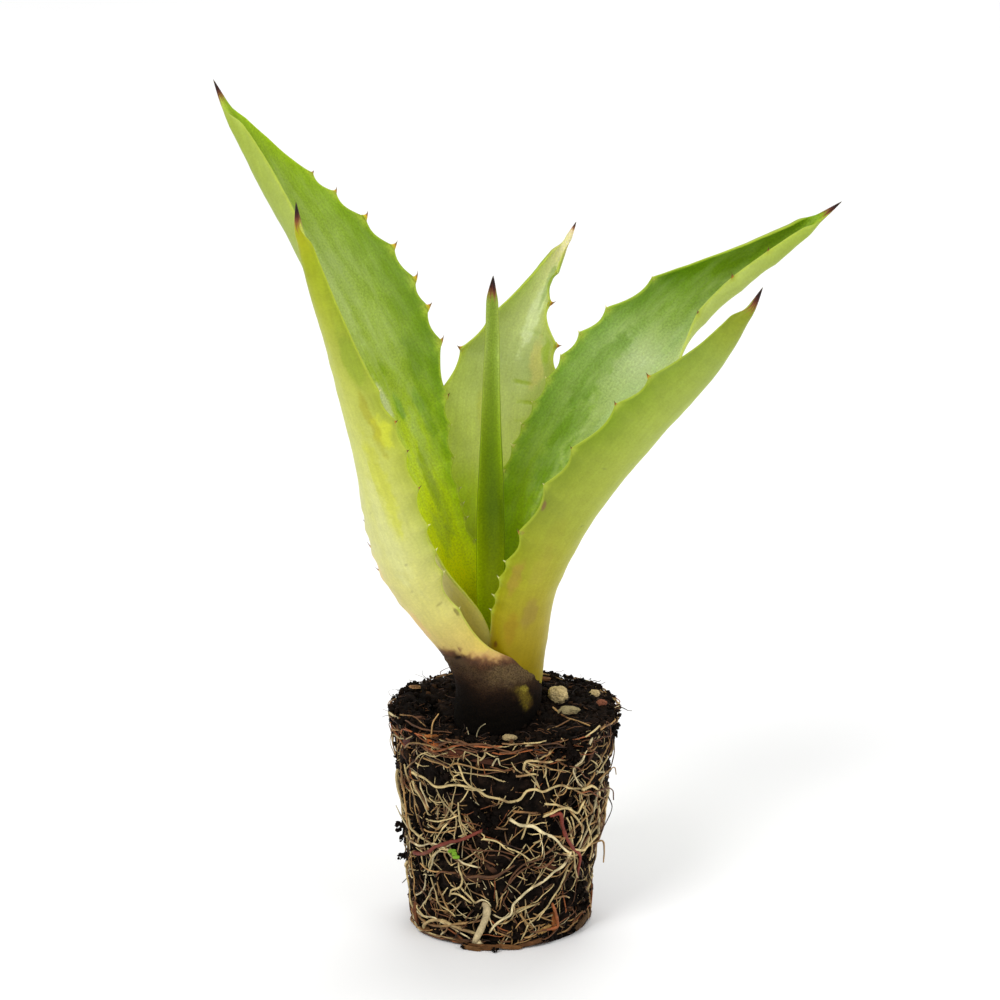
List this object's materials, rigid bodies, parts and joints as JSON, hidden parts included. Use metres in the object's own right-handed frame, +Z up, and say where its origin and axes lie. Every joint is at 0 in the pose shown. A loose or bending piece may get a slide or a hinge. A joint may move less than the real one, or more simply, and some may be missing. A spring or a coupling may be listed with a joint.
{
  "type": "potted agave",
  "caption": "Young agave lifted out of its pot: toothed, spine-tipped leaves on a short stem standing in a tapered ball of soil and roots.",
  "frame": {"origin": "centre of the flat underside of the root ball, which the plant stands on", "axes": "+Z up along the root ball's axis, +X to the viewer's right and -Y towards the viewer"},
  "size_m": [0.2164, 0.0997, 0.2916],
  "materials": {
    "soil": "near-black crumbly moist potting mix with fibres",
    "stem": "dull dark brown, scarred",
    "root": "matte straw and tan roots, some reddish",
    "leaf_centre_spike": "waxy satin leaf, yellowish toothed margins, dark end spine",
    "leaf_back_right": "waxy satin leaf, yellowish toothed margins, dark end spine",
    "leaf_back_left": "waxy satin leaf, yellowish toothed margins, dark end spine",
    "leaf_front_right": "waxy satin leaf, yellowish toothed margins, dark end spine",
    "leaf_back_centre": "waxy satin leaf, yellowish toothed margins, dark end spine",
    "leaf_front_left": "waxy satin leaf, yellowish toothed margins, dark end spine",
    "pumice": "rough pale porous stone",
    "red_grit": "rough reddish stone",
    "bark": "matte fibrous bark"
  },
  "bodies": {
    "root": {"soil_ball": "soil", "stem": "stem", "roots": "root", "leaf_centre_spike": "leaf_centre_spike", "leaf_back_right": "leaf_back_right", "leaf_back_left": "leaf_back_left", "leaf_front_right": "leaf_front_right", "leaf_back_centre": "leaf_back_centre", "leaf_front_left": "leaf_front_left", "pumice_large": "pumice", "pumice_flat": "pumice", "pumice_small": "pumice", "pumice_rim": "pumice", "pumice_back": "pumice", "grit_red": "red_grit", "bark_chip_left": "bark", "bark_chip_rim": "bark", "bark_chip_front": "bark", "bark_chip_back": "bark"}
  },
  "joints": []
}
